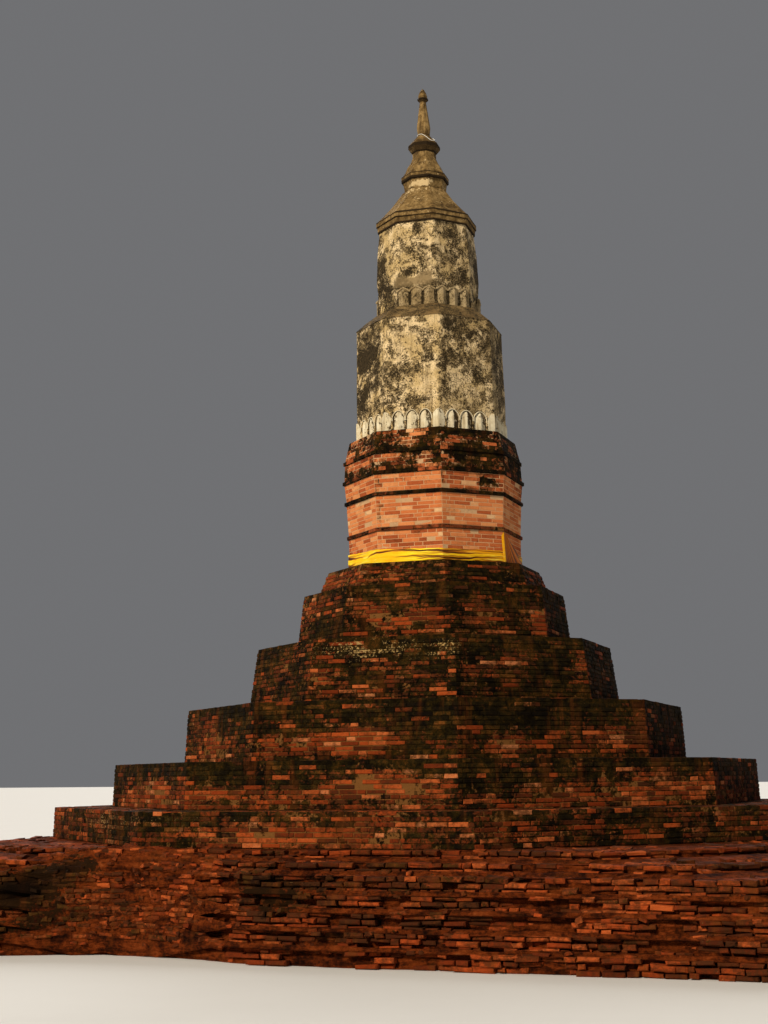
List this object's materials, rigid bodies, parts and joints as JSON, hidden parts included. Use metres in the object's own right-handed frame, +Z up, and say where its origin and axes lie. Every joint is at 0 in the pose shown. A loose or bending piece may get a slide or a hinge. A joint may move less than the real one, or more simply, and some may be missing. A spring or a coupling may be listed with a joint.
{
  "type": "octagonal brick stupa",
  "caption": "Octagonal brick stupa with a stucco bell, shaft and lotus-bud spire, on stepped terraces over an old square brick base, with a cloth sash.",
  "frame": {"origin": "middle of the square base's underside, at ground level", "axes": "+Z up along the tower's axis; -Y faces the front side of the square base, +X its right side"},
  "size_m": [15.2, 15.2, 15.05],
  "materials": {
    "worn_brick": "rough",
    "terrace_brick": "rough",
    "drum_brick": "rough",
    "stucco": "matte",
    "limewash": "matte",
    "roof_stucco": "matte",
    "sash_cloth": "satin",
    "cotton_thread": "matte"
  },
  "bodies": {
    "root": {"old_base_courses_1": "worn_brick", "old_base_courses_2": "worn_brick", "old_base_courses_3": "worn_brick", "old_base_courses_4": "worn_brick", "old_base_courses_5": "worn_brick", "old_base_courses_6": "worn_brick", "old_base_courses_7": "worn_brick", "terrace_1": "terrace_brick", "terrace_2": "terrace_brick", "terrace_3": "terrace_brick", "terrace_4": "terrace_brick", "tier_5": "terrace_brick", "tier_6": "terrace_brick", "drum_band_1": "drum_brick", "drum_band_2": "drum_brick", "drum_band_3": "drum_brick", "drum_band_4": "drum_brick", "drum_band_5": "drum_brick", "string_course_1": "drum_brick", "string_course_2": "drum_brick", "string_course_3": "drum_brick", "string_course_4": "drum_brick", "sash": "sash_cloth", "lower_lotus_petals": "limewash", "bell_body": "stucco", "bell_shoulder": "stucco", "upper_lotus_petals": "stucco", "upper_shaft": "stucco", "cornice_1_lower": "roof_stucco", "cornice_1_upper": "roof_stucco", "roof_1": "roof_stucco", "second_stage": "roof_stucco", "cornice_2": "roof_stucco", "roof_2": "roof_stucco", "neck": "roof_stucco", "cornice_3": "roof_stucco", "roof_3": "roof_stucco", "spire": "roof_stucco", "spire_collar": "roof_stucco", "lotus_bud": "roof_stucco", "votive_thread": "cotton_thread"}
  },
  "joints": []
}
